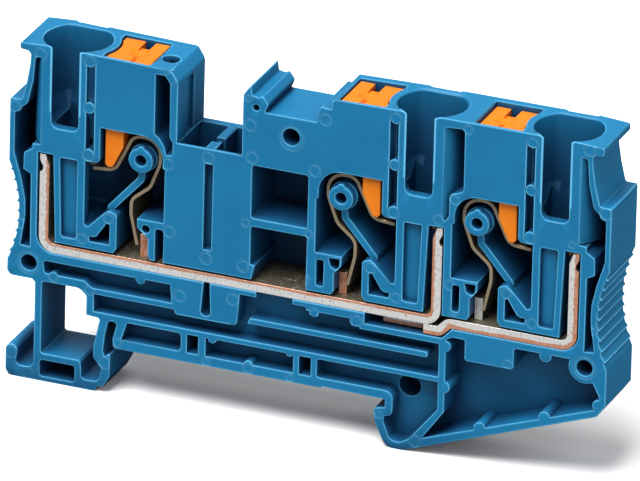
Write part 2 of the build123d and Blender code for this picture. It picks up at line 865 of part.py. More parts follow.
def make_lever(unit):
    """Push lever: wide head in the shaft, narrow tip that bends the spring"""
    head_top = side_low_top - lever_sunk + 0.15
    head_low = stop_z + lever_travel + lever_stop_gap
    profile = unit.points([
        (lever_near, head_top, 0),
        (lever_far, head_top, 0),
        (lever_far, head_low, 0),
        (tip_far, head_low, 0),
        (tip_far, tip_z + 2.75, 1.2),
        (tip_near + 0.93, tip_z, tip_round),
        (tip_near, tip_z, 0.5),
        (tip_near, head_low, 0),
        (lever_near, head_low + 0.3, 0),
    ])
    back = lever_front + lever_depth
    lever = prism(profile, lever_front, back)
    # waist round the funnel and driver notch at the back
    lever -= post(unit.middle, funnel_d, tube_r + tube_play + lever_play, 30, 45)
    near = unit.x(notch_u - notch_width / 2)
    far = unit.x(notch_u + notch_width / 2)
    lever -= block(near, far, back - notch_depth, pitch, head_top - 3, 45)
    # dish for the tip of a driver, slot from the dish to the notch and groove to the front
    dish_d = lever_front + lever_depth / 2
    lever -= post(unit.x(notch_u), dish_d, dish_r / 4, head_top - dish_depth, head_top + 0.01, dish_r)
    lever -= block(near, far, dish_d, back, head_top - dish_depth / 2, 45)
    groove = [
        (notch_u - notch_width / 3, head_top + 0.1, 0),
        (notch_u + notch_width / 3, head_top + 0.1, 0),
        (notch_u, head_top - dish_depth * 0.8, 0),
    ]
    lever -= prism(unit.points(groove), 0, dish_d)
    return lever


os.makedirs("parts", exist_ok=True)
export_step(make_housing(), "parts/housing.step")
export_step(make_busbar_main(), "parts/busbar_main.step")
export_step(make_busbar_branch(), "parts/busbar_branch.step")
for unit in units:
    export_step(make_spring(unit), "parts/clamp_spring_" + unit.name + ".step")
    export_step(make_lever(unit), "parts/release_lever_" + unit.name + ".step")
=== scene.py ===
import logging
import math
from dataclasses import dataclass, replace
from enum import Enum
from typing import Callable, Iterable, Union

import bmesh
import bpy
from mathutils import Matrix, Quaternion, Vector


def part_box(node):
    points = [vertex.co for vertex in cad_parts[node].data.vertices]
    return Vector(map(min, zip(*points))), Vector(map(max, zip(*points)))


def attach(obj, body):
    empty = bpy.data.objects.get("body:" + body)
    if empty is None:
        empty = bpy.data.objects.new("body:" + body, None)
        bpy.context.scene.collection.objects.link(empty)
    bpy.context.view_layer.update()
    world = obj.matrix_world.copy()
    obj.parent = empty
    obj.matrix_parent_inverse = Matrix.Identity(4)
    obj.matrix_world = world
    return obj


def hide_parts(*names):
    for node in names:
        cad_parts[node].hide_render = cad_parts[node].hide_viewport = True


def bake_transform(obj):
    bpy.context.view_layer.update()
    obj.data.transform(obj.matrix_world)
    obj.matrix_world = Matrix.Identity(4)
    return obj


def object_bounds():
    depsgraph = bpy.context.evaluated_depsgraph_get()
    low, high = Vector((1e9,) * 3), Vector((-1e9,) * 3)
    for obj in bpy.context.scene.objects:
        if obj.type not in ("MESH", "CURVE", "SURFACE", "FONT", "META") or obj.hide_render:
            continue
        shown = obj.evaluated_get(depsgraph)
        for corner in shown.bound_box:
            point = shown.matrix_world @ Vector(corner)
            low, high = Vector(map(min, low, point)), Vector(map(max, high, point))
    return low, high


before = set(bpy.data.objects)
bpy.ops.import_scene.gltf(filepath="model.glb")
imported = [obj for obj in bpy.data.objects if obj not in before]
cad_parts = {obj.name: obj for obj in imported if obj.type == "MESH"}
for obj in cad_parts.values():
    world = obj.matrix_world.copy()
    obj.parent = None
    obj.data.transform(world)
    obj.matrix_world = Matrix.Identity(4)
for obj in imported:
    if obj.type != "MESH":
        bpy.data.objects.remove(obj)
CAD_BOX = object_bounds()
LOG = logging.getLogger("terminal_block")

MM = 0.001
MICRON = 0.000001
# Slack in millimetres when places are compared.
SLACK = 0.01
# Where along X a bar without a step would step down, in metres and far outside the block.
NO_STEP = (-1.0, -0.999)

Socket = bpy.types.NodeSocket
Feed = Union[Socket, float, tuple]
Colour = tuple[float, float, float, float]
Triple = tuple[float, float, float]
Span = tuple[float, float]


class Side(Enum):
    """Side of a funnel that its lever stands on, as the sign of X."""

    LEVER_RIGHT = 1
    LEVER_LEFT = -1


def place(x: float, z: float, depth: float = 0.0) -> Vector:
    """Gives the point at a place in the block.

    Args:
        x: Millimetres from the left end.
        z: Millimetres above the underside of the foot.
        depth: Millimetres behind the open front.

    Returns:
        The point in metres, in the frame.
    """
    low = CAD_BOX[0]
    return Vector((low.x + x * MM, low.y + depth * MM, low.z + z * MM))


def from_srgb(red: int, green: int, blue: int) -> Colour:
    """Turns a colour as seen on a screen into the linear one that a shader takes.

    Args:
        red: Red from 0 to 255.
        green: Green from 0 to 255.
        blue: Blue from 0 to 255.

    Returns:
        The linear colour with full opacity.
    """
    parts = []
    for value in (red, green, blue):
        share = value / 255
        parts.append(share / 12.92 if share <= 0.04045 else ((share + 0.055) / 1.055) ** 2.4)
    return (parts[0], parts[1], parts[2], 1.0)


class Graph:
    """Places and joins the nodes of one material or node group."""

    def __init__(self, tree: bpy.types.NodeTree) -> None:
        """Starts on an empty tree."""
        self.tree = tree
        tree.nodes.clear()

    def feed(self, target: Socket, value: Feed) -> None:
        """Joins a socket to the target, or sets the target's own value.

        Args:
            target: The input socket.
            value: The socket that feeds it, or its value.
        """
        if isinstance(value, bpy.types.NodeSocket):
            self.tree.links.new(value, target)
        else:
            target.default_value = value

    def node(self, kind: str, inputs: dict[str, Feed] | None = None, **settings: object) -> bpy.types.Node:
        """Adds a node.

        Args:
            kind: The node's type without the leading ShaderNode.
            inputs: What goes into its inputs, by input name.
            settings: The node's own settings, by name.

        Returns:
            The new node.
        """
        made = self.tree.nodes.new("ShaderNode" + kind)
        for name, value in settings.items():
            setattr(made, name, value)
        for name, value in (inputs or {}).items():
            self.feed(made.inputs[name], value)
        return made

    def group(self, tree: bpy.types.NodeTree, **inputs: Feed) -> bpy.types.Node:
        """Adds a node group.

        Args:
            tree: The group's tree.
            inputs: What goes into its inputs, with underscores for the spaces in their names.

        Returns:
            The new node.
        """
        made = self.tree.nodes.new("ShaderNodeGroup")
        made.node_tree = tree
        for name, value in inputs.items():
            self.feed(made.inputs[name.replace("_", " ")], value)
        return made

    def math(self, operation: str, first: Feed, second: Feed = 0.0, third: Feed = 0.0) -> Socket:
        """Does one step of arithmetic.

        Args:
            operation: What is done.
            first: The first value.
            second: The second value.
            third: The third value, where the step has one.

        Returns:
            The result.
        """
        made = self.node("Math", operation=operation)
        for target, value in zip(made.inputs, (first, second, third)):
            self.feed(target, value)
        return made.outputs[0]

    def ramp(self, value: Feed, low: Feed, high: Feed, bottom: Feed = 0.0, top: Feed = 1.0) -> Socket:
        """Maps a value smoothly from one range to another.

        Args:
            value: The value.
            low: Where the first range starts.
            high: Where the first range ends.
            bottom: The result at low.
            top: The result at high.

        Returns:
            The mapped value.
        """
        made = self.node("MapRange", interpolation_type="SMOOTHSTEP")
        for target, given in zip(made.inputs, (value, low, high, bottom, top)):
            self.feed(target, given)
        return made.outputs[0]

    def blend(self, share: Feed, first: Feed, second: Feed) -> Socket:
        """Mixes two colours.

        Args:
            share: Share of the second colour.
            first: The first colour.
            second: The second colour.

        Returns:
            The mixed colour.
        """
        made = self.node("Mix", data_type="RGBA")
        self.feed(made.inputs[0], share)
        self.feed(made.inputs[6], first)
        self.feed(made.inputs[7], second)
        return made.outputs[2]

    def noise(self, vector: Feed, scale: Feed, detail: float) -> Socket:
        """Adds a noise texture and returns its value."""
        return self.node("TexNoise", {"Vector": vector, "Scale": scale, "Detail": detail}).outputs[0]

    def stretched(self, vector: Feed, scale: Triple) -> Socket:
        """Scales the coordinates of a pattern along each axis."""
        return self.node("Mapping", {"Vector": vector, "Scale": scale}).outputs[0]


def new_group(name: str, inputs: dict[str, float | tuple], outputs: dict[str, str]) -> Graph:
    """Makes an empty node group with its sockets.

    Args:
        name: The group's name.
        inputs: Starting value of each input, where three numbers make a vector and four a colour.
        outputs: Kind of each output: Float, Color or Vector.

    Returns:
        The graph of the group, in which its nodes are placed.
    """
    tree = bpy.data.node_groups.new(name, "ShaderNodeTree")
    kinds = {3: "NodeSocketVector", 4: "NodeSocketColor"}
    for label, start in inputs.items():
        kind = kinds[len(start)] if isinstance(start, tuple) else "NodeSocketFloat"
        socket = tree.interface.new_socket(name=label, in_out="INPUT", socket_type=kind)
        socket.default_value = start
    for label, kind in outputs.items():
        tree.interface.new_socket(name=label, in_out="OUTPUT", socket_type="NodeSocket" + kind)
    return Graph(tree)


def group_ends(graph: Graph) -> tuple[bpy.types.Node, bpy.types.Node]:
    """Adds a group's input and output nodes and returns both."""
    return graph.tree.nodes.new("NodeGroupInput"), graph.tree.nodes.new("NodeGroupOutput")


def make_moulded_grain() -> bpy.types.NodeTree:
    """Builds the group for the skin of moulded plastic.

    Returns:
        A group that gives cloudy colour shares, a change of roughness and a grain height.
    """
    graph = new_group(
        "MouldedGrain",
        {"Vector": (0.0, 0.0, 0.0), "Cloud Scale": 180.0, "Grain Scale": 6000.0, "Flow": 0.5},
        {"Cloud": "Float", "Grain": "Float", "Height": "Float"},
    )
    given, result = group_ends(graph)
    vector = given.outputs["Vector"]
    soft = graph.noise(vector, given.outputs["Cloud Scale"], 4.0)
    flow = graph.noise(graph.stretched(vector, (0.35, 1.0, 1.0)), 420.0, 2.0)
    mixed = graph.math("MULTIPLY", flow, given.outputs["Flow"])
    kept = graph.math("SUBTRACT", 1.0, given.outputs["Flow"])
    cloud = graph.math("MULTIPLY_ADD", soft, kept, mixed)
    grain = graph.noise(vector, given.outputs["Grain Scale"], 5.0)
    pits = graph.node("TexVoronoi", {"Vector": vector}, feature="F1")
    graph.feed(pits.inputs["Scale"], graph.math("MULTIPLY", given.outputs["Grain Scale"], 0.6))
    height = graph.math("MULTIPLY_ADD", pits.outputs["Distance"], 0.35, grain)
    graph.feed(result.inputs["Cloud"], cloud)
    graph.feed(result.inputs["Grain"], grain)
    graph.feed(result.inputs["Height"], height)
    return graph.tree


def make_edge_light() -> bpy.types.NodeTree:
    """Builds the group that finds the outer edges of a piece from inside its walls.

    Returns:
        A group whose mask is 1 on an outer edge and 0 on flat faces and in inner corners.
    """
    graph = new_group("EdgeLight", {"Reach": 0.0003, "Flat": 0.95, "Sharp": 0.6}, {"Mask": "Float"})
    given, result = group_ends(graph)
    reach = {"Distance": given.outputs["Reach"]}
    walls = graph.node("AmbientOcclusion", reach, samples=6, inside=True, only_local=True)
    mask = graph.ramp(walls.outputs["AO"], given.outputs["Sharp"], given.outputs["Flat"], 1.0, 0.0)
    graph.feed(result.inputs["Mask"], mask)
    return graph.tree


def make_cavity() -> bpy.types.NodeTree:
    """Builds the group that finds recesses and creases, where the plastic gets its painted shade.

    Returns:
        A group whose mask rises from 0 in the open to 1 far inside a recess.
    """
    graph = new_group("Cavity", {"Reach": 0.006, "Open": 0.75, "Closed": 0.15}, {"Mask": "Float"})
    given, result = group_ends(graph)
    hidden = graph.node("AmbientOcclusion", {"Distance": given.outputs["Reach"]}, samples=6)
    mask = graph.ramp(hidden.outputs["AO"], given.outputs["Closed"], given.outputs["Open"], 1.0, 0.0)
    graph.feed(result.inputs["Mask"], mask)
    return graph.tree


def make_strip_depth() -> bpy.types.NodeTree:
    """Builds the group that measures across a metal strip bent into a wide U.

    Returns:
        A group whose value is 0 on the outer side of the U and 1 on its inner side.
    """
    graph = new_group(
        "StripDepth",
        {
            "Vector": (0.0, 0.0, 0.0),
            "Left": -0.03,
            "Right": 0.03,
            "Floor": 0.016,
            "Corner": 0.002,
            "Thickness": 0.0012,
            "Step Start": NO_STEP[0],
            "Step End": NO_STEP[1],
        },
        {"Across": "Float", "Along": "Float"},
    )
    given, result = group_ends(graph)
    parts = graph.node("SeparateXYZ", {"Vector": given.outputs["Vector"]})
    middle = graph.math("MULTIPLY", graph.math("ADD", given.outputs["Left"], given.outputs["Right"]), 0.5)
    width = graph.math("SUBTRACT", given.outputs["Right"], given.outputs["Left"])
    half = graph.math("MULTIPLY", width, 0.5)
    step = graph.ramp(parts.outputs["X"], given.outputs["Step Start"], given.outputs["Step End"])
    drop = graph.math("MULTIPLY", graph.math("SUBTRACT", 1.0, step), given.outputs["Thickness"])
    height = graph.math("ADD", parts.outputs["Z"], drop)
    out_x = graph.math("ABSOLUTE", graph.math("SUBTRACT", parts.outputs["X"], middle))
    side = graph.math("ADD", graph.math("SUBTRACT", out_x, half), given.outputs["Corner"])
    low = graph.math("ADD", graph.math("SUBTRACT", given.outputs["Floor"], height), given.outputs["Corner"])
    side_out = graph.math("MAXIMUM", side, 0.0)
    low_out = graph.math("MAXIMUM", low, 0.0)
    squares = graph.math("MULTIPLY_ADD", side_out, side_out, graph.math("MULTIPLY", low_out, low_out))
    outside = graph.math("SQRT", squares)
    inside = graph.math("MINIMUM", graph.math("MAXIMUM", side, low), 0.0)
    distance = graph.math("SUBTRACT", graph.math("ADD", outside, inside), given.outputs["Corner"])
    across = graph.math("DIVIDE", graph.math("MULTIPLY", distance, -1.0), given.outputs["Thickness"])
    graph.feed(result.inputs["Across"], across)
    graph.feed(result.inputs["Along"], graph.math("ADD", parts.outputs["X"], height))
    return graph.tree


def make_rolled_streaks() -> bpy.types.NodeTree:
    """Builds the group for the streaks and spots of rolled and cut metal.

    Returns:
        A group that gives long streaks, short streaks, small spots and a height.
    """
    graph = new_group(
        "RolledStreaks",
        {"Vector": (0.0, 0.0, 0.0), "Scale": 1.0},
        {"Long": "Float", "Short": "Float", "Spots": "Float", "Height": "Float"},
    )
    given, result = group_ends(graph)
    sized = graph.node("VectorMath", operation="SCALE")
    graph.feed(sized.inputs[0], given.outputs["Vector"])
    graph.feed(sized.inputs["Scale"], given.outputs["Scale"])
    vector = sized.outputs[0]
    long = graph.noise(graph.stretched(vector, (0.12, 1.0, 1.0)), 2600.0, 4.0)
    short = graph.noise(graph.stretched(vector, (1.0, 0.25, 0.3)), 5200.0, 3.0)
    spots = graph.ramp(graph.noise(vector, 3400.0, 2.0), 0.56, 0.66)
    graph.feed(result.inputs["Long"], long)
    graph.feed(result.inputs["Short"], short)
    graph.feed(result.inputs["Spots"], spots)
    graph.feed(result.inputs["Height"], graph.math("MULTIPLY_ADD", long, 0.5, short))
    return graph.tree


class Effects:
    """The node groups that the materials share, each built when it is first asked for."""

    makers: dict[str, Callable[[], bpy.types.NodeTree]] = {
        "grain": make_moulded_grain,
        "edge": make_edge_light,
        "cavity": make_cavity,
        "strip": make_strip_depth,
        "streaks": make_rolled_streaks,
    }
    made: dict[str, bpy.types.NodeTree] = {}

    @classmethod
    def get(cls, name: str) -> bpy.types.NodeTree:
        """Gives a node group, and builds it the first time.

        Args:
            name: The group's name among the makers.

        Returns:
            The group's tree.
        """
        if name not in cls.made:
            cls.made[name] = cls.makers[name]()
        return cls.made[name]


def new_material(name: str) -> tuple[Graph, bpy.types.Node, bpy.types.Material]:
    """Starts a material with its shader and output.

    Args:
        name: The material's name.

    Returns:
        Its graph, its Principled shader and the material.
    """
    material = bpy.data.materials.new(name)
    material.use_nodes = True
    graph = Graph(material.node_tree)
    shader = graph.node("BsdfPrincipled")
    output = graph.node("OutputMaterial")
    graph.feed(output.inputs["Surface"], shader.outputs["BSDF"])
    return graph, shader, material


def object_place(graph: Graph) -> Socket:
    """Adds the object coordinates and returns them."""
    return graph.node("TexCoord").outputs["Object"]


@dataclass(frozen=True)
class MouldedPlastic:
    """Finish of an injection-moulded plastic piece, satin with fine grain, with a painted highlight on its
    outer edges and painted shade in its recesses and creases.

    The reaches and the grain's height are in millimetres.
    """

    name: str
    base: Colour
    clouded: Colour
    # Colour of the painted shade in recesses and creases.
    painted_shade: Colour
    # Colour of the painted highlight on outer edges.
    edge: Colour
    edge_highlight_share: float = 0.85
    edge_reach: float = 0.2
    cavity_shade_share: float = 0.85
    cavity_reach: float = 9.0
    crease_shade_share: float = 0.6
    crease_reach: float = 0.3
    roughness: float = 0.42
    gloss: float = 0.22
    grain_height: float = 0.02

    def material(self) -> bpy.types.Material:
        """Builds the material.

        Returns:
            The material.
        """
        graph, shader, material = new_material(self.name)
        grain = graph.group(
            Effects.get("grain"),
            Vector=object_place(graph),
            Cloud_Scale=160.0,
            Grain_Scale=7000.0,
            Flow=0.4,
        )
        edge = graph.group(Effects.get("edge"), Reach=self.edge_reach * MM, Flat=0.94, Sharp=0.62)
        deeps = Effects.get("cavity")
        cavity = graph.group(deeps, Reach=self.cavity_reach * MM, Open=0.8, Closed=0.34)
        crease = graph.group(deeps, Reach=self.crease_reach * MM, Open=0.95, Closed=0.5)
        clouded = graph.blend(graph.ramp(grain.outputs["Cloud"], 0.32, 0.68), self.base, self.clouded)
        # Painted shade: the colour darkens towards the shade colour in recesses and creases found by
        # ambient occlusion.
        inside = graph.math("MULTIPLY", cavity.outputs["Mask"], self.cavity_shade_share)
        crease_shade = graph.math("MULTIPLY", crease.outputs["Mask"], self.crease_shade_share)
        shaded_colour = graph.blend(graph.math("MAXIMUM", inside, crease_shade), clouded, self.painted_shade)
        # Painted highlight: the colour lightens towards the highlight colour on outer edges, less so inside
        # recesses.
        outside = graph.math("MULTIPLY_ADD", cavity.outputs["Mask"], -0.8, 1.0)
        wear_and_edge_highlight = graph.math("MULTIPLY", edge.outputs["Mask"], self.edge_highlight_share)
        share = graph.math("MULTIPLY", wear_and_edge_highlight, outside)
        graph.feed(shader.inputs["Base Color"], graph.blend(share, shaded_colour, self.edge))
        low = self.roughness - 0.05
        high = self.roughness + 0.07
        graph.feed(shader.inputs["Roughness"], graph.ramp(grain.outputs["Grain"], 0.3, 0.7, low, high))
        shader.inputs["IOR"].default_value = 1.53
        shader.inputs["Specular IOR Level"].default_value = self.gloss
        bump = graph.node("Bump", {"Height": grain.outputs["Height"], "Strength": 0.25})
        bump.inputs["Distance"].default_value = self.grain_height * MM
        graph.feed(shader.inputs["Normal"], bump.outputs["Normal"])
        return material


@dataclass(frozen=True)
class PlatedBar:
    """Finish of a stamped copper bar, tinned all over, with bare copper showing in its cut edge.

    The copper shows between two shares of the thickness, counted from the outer side of the U. The
    thickness, the corner and the relief are in metres.
    """

    name: str
    tin: Colour
    tin_dull: Colour
    flat: Colour
    copper: Colour
    copper_from: float
    copper_to: float
    thickness: float
    corner: float
    metallic: float = 0.5
    relief: float = 0.02 * MM

    def material(self, sides: Span, floor: float, step: Span) -> bpy.types.Material:
        """Builds the material for one bar.

        Args:
            sides: Left and right side of the U that the bar bends along.
            floor: Height of the bar's underside.
            step: Where along X the bar steps down to the left, from its low end to its high end.

        Returns:
            The material.
        """
        graph, shader, material = new_material(self.name)
        coordinates = graph.node("TexCoord")
        vector = coordinates.outputs["Object"]
        strip = graph.group(
            Effects.get("strip"),
            Vector=vector,
            Left=sides[0],
            Right=sides[1],
            Floor=floor,
            Corner=self.corner,
            Thickness=self.thickness,
            Step_Start=step[0],
            Step_End=step[1],
        )
        streaks = graph.group(Effects.get("streaks"), Vector=vector, Scale=1.0)
        normal = graph.node("SeparateXYZ", {"Vector": coordinates.outputs["Normal"]})
        cut_face = graph.ramp(graph.math("ABSOLUTE", normal.outputs["Y"]), 0.55, 0.8)
        wobble = graph.math("MULTIPLY_ADD", streaks.outputs["Long"], 0.5, -0.25)
        across = graph.math("ADD", strip.outputs["Across"], wobble)
        rising = graph.ramp(across, self.copper_from - 0.06, self.copper_from + 0.06)
        falling = graph.ramp(across, self.copper_to - 0.06, self.copper_to + 0.06, 1.0, 0.0)
        band = graph.math("MULTIPLY", rising, falling)
        bare = graph.math("MULTIPLY", band, cut_face)
        wear_and_edge_highlight = graph.ramp(streaks.outputs["Short"], 0.4, 0.6, 0.7, 1.0)
        flats = graph.blend(graph.ramp(streaks.outputs["Spots"], 0.0, 1.0, 0.0, 0.2), self.flat, self.tin)
        scratched = graph.ramp(streaks.outputs["Short"], 0.34, 0.43, 0.4, 1.0)
        edges = graph.blend(scratched, self.tin_dull, self.tin)
        tinned = graph.blend(cut_face, flats, edges)
        colour = graph.blend(graph.math("MULTIPLY", bare, wear_and_edge_highlight), tinned, self.copper)
        graph.feed(shader.inputs["Base Color"], colour)
        shader.inputs["Metallic"].default_value = self.metallic
        rough = graph.ramp(streaks.outputs["Long"], 0.3, 0.7, 0.3, 0.45)
        graph.feed(shader.inputs["Roughness"], rough)
        bump = graph.node("Bump", {"Height": streaks.outputs["Height"], "Strength": 0.35})
        bump.inputs["Distance"].default_value = self.relief
        graph.feed(shader.inputs["Normal"], bump.outputs["Normal"])
        return material


@dataclass(frozen=True)
class SpringStrip:
    """Finish of a hardened spring strip, brown on its flats and pale on its cut edges.

    The relief is in metres.
    """

    name: str
    flat: Colour
    cut: Colour
    streak: Colour
    roughness: float = 0.33
    metallic: float = 0.7
    relief: float = 0.01 * MM

    def material(self) -> bpy.types.Material:
        """Builds the material.

        Returns:
            The material.
        """
        graph, shader, material = new_material(self.name)
        coordinates = graph.node("TexCoord")
        streaks = graph.group(Effects.get("streaks"), Vector=coordinates.outputs["Object"], Scale=1.3)
        normal = graph.node("SeparateXYZ", {"Vector": coordinates.outputs["Normal"]})
        cut_face = graph.ramp(graph.math("ABSOLUTE", normal.outputs["Y"]), 0.5, 0.8)
        flats = graph.blend(graph.ramp(streaks.outputs["Long"], 0.35, 0.65), self.flat, self.streak)
        graph.feed(shader.inputs["Base Color"], graph.blend(cut_face, flats, self.cut))
        shader.inputs["Metallic"].default_value = self.metallic
        low = self.roughness - 0.06
        high = self.roughness + 0.1
        graph.feed(shader.inputs["Roughness"], graph.ramp(streaks.outputs["Short"], 0.3, 0.7, low, high))
        bump = graph.node("Bump", {"Height": streaks.outputs["Height"], "Strength": 0.3})
        bump.inputs["Distance"].default_value = self.relief
        graph.feed(shader.inputs["Normal"], bump.outputs["Normal"])
        return material


@dataclass(frozen=True)
class StudioSurface:
    """Finish of the pale matt floor, which throws back less light than the camera sees on it."""

    name: str
    colour: Colour
    shade: Colour
    thrown: Colour
    mirrored: Colour

    def material(self) -> bpy.types.Material:
        """Builds the material.

        Returns:
            The material.
        """
        graph, shader, material = new_material(self.name)
        cloud = graph.noise(object_place(graph), 3.0, 3.0)
        path = graph.node("LightPath")
        shown = graph.blend(cloud, self.colour, self.shade)
        thrown = graph.blend(path.outputs["Is Glossy Ray"], self.thrown, self.mirrored)
        graph.feed(shader.inputs["Base Color"], graph.blend(path.outputs["Is Camera Ray"], thrown, shown))
        shader.inputs["Roughness"].default_value = 0.85
        shader.inputs["Specular IOR Level"].default_value = 0.1
        return material


def deselect() -> None:
    """Leaves no object selected or active in edit mode."""
    if bpy.context.mode != "OBJECT":
        bpy.ops.object.mode_set(mode="OBJECT")
    bpy.ops.object.select_all(action="DESELECT")


def activate(piece: bpy.types.Object) -> None:
    """Selects one object alone and makes it the active one.

    Args:
        piece: The object.
    """
    deselect()
    piece.select_set(True)
    bpy.context.view_layer.objects.active = piece


def apply_modifiers(piece: bpy.types.Object) -> None:
    """Applies each modifier of a piece in turn.

    Args:
        piece: The piece.
    """
    activate(piece)
    for name in [modifier.name for modifier in piece.modifiers]:
        bpy.ops.object.modifier_apply(modifier=name)


def node_copy(node: str, name: str) -> bpy.types.Object:
    """Makes a new piece with the clean shape of a CAD node.

    Args:
        node: The CAD node's name.
        name: The new piece's name.

    Returns:
        The new piece, with its loose triangles merged into whole faces.
    """
    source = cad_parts[node]
    mesh = source.data.copy()
    mesh.name = name
    mesh.materials.clear()
    piece = bpy.data.objects.new(name, mesh)
    bpy.context.scene.collection.objects.link(piece)
    activate(piece)
    bpy.ops.object.mode_set(mode="EDIT")
    bpy.ops.mesh.select_all(action="SELECT")
    bpy.ops.mesh.customdata_custom_splitnormals_clear()
    bpy.ops.mesh.remove_doubles(threshold=10.0 * MICRON)
    bpy.ops.mesh.dissolve_limited(angle_limit=math.radians(0.6), use_dissolve_boundaries=False)
    bpy.ops.object.mode_set(mode="OBJECT")
    return piece


def split_concave(piece: bpy.types.Object) -> None:
    """Splits the large faces of a piece until none of them has an inward corner.

    Args:
        piece: The piece.
    """
    activate(piece)
    bpy.ops.object.mode_set(mode="EDIT")
    bpy.ops.mesh.select_all(action="SELECT")
    bpy.ops.mesh.vert_connect_concave()
    bpy.ops.object.mode_set(mode="OBJECT")


def round_edges(
    piece: bpy.types.Object,
    width: float,
    sharp: float = 30.0,
    segments: int = 2,
    wanted: Callable[[Vector, Vector], bool] = lambda start, end: True,
) -> None:
    """Rounds the sharp outer edges of a piece with a small bevel.

    Args:
        piece: The piece.
        width: Size of the bevel in metres.
        sharp: Angle in degrees from which an edge is sharp.
        segments: How many flats the bevel has.
        wanted: Says from its two ends whether an edge is rounded.
    """
    activate(piece)
    bpy.ops.object.mode_set(mode="EDIT")
    bpy.ops.mesh.select_mode(type="EDGE")
    bpy.ops.mesh.select_all(action="DESELECT")
    shape = bmesh.from_edit_mesh(piece.data)
    limit = math.radians(sharp)
    for edge in shape.edges:
        outer = edge.is_manifold and edge.calc_face_angle_signed() > limit
        if outer and wanted(*(corner.co for corner in edge.verts)):
            edge.select_set(True)
    bmesh.update_edit_mesh(piece.data)
    bpy.ops.mesh.bevel(offset=width, offset_type="OFFSET", segments=segments, profile=0.5, affect="EDGES")
    bpy.ops.object.mode_set(mode="OBJECT")
    keep_in_box(piece)


def keep_in_box(piece: bpy.types.Object) -> None:
    """Brings any corner that a bevel pushed out back to the sides of the CAD box.

    Args:
        piece: The piece.
    """
    low, high = CAD_BOX
    for corner in piece.data.vertices:
        corner.co = [min(max(value, least), most) for value, least, most in zip(corner.co, low, high)]


def soften_shading(piece: bpy.types.Object, angle: float = 50.0) -> None:
    """Smooths a piece up to an angle, with its large faces kept flat.

    Args:
        piece: The piece.
        angle: Angle in degrees from which an edge stays sharp in the shading.
    """
    activate(piece)
    bpy.ops.object.shade_smooth_by_angle(angle=math.radians(angle))
    weighted = piece.modifiers.new("even_faces", "WEIGHTED_NORMAL")
    weighted.keep_sharp = True
    apply_modifiers(piece)


def dress(piece: bpy.types.Object, material: bpy.types.Material) -> None:
    """Gives a piece its finish.

    Args:
        piece: The piece.
        material: Its material.
    """
    piece.data.materials.clear()
    piece.data.materials.append(material)
    LOG.info("%s: %d faces", piece.name, len(piece.data.polygons))


@dataclass(frozen=True)
class Mark:
    """Round mark that an ejector pin leaves on the moulding."""

    x: float
    z: float
    radius: float


@dataclass
class Connection:
    """Place of one connection, read from its lever, with sizes in millimetres."""

    name: str
    side: Side
    lever_offset: float = 4.6
    groove_out: float = 3.05

    def middle(self) -> float:
        """Finds the funnel's middle.

        Returns:
            Millimetres from the left end.
        """
        low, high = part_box("release_lever_" + self.name)
        near = low.x if self.side is Side.LEVER_RIGHT else high.x
        return (near - CAD_BOX[0].x) / MM - self.side.value * self.lever_offset

    def marks(self) -> list[Mark]:
        """Lists the ejector marks on the column and the lever wall.

        Returns:
            The marks, each placed from the funnel's middle.
        """
        column = [(3.0, 41.25, 0.71), (3.0, 35.45, 0.71), (3.0, 29.6, 0.71)]
        listed = column + [(5.65, 22.1, 0.6), (2.4, 18.95, 0.6)]
        return [Mark(self.middle() + self.side.value * out, z, radius) for out, z, radius in listed]


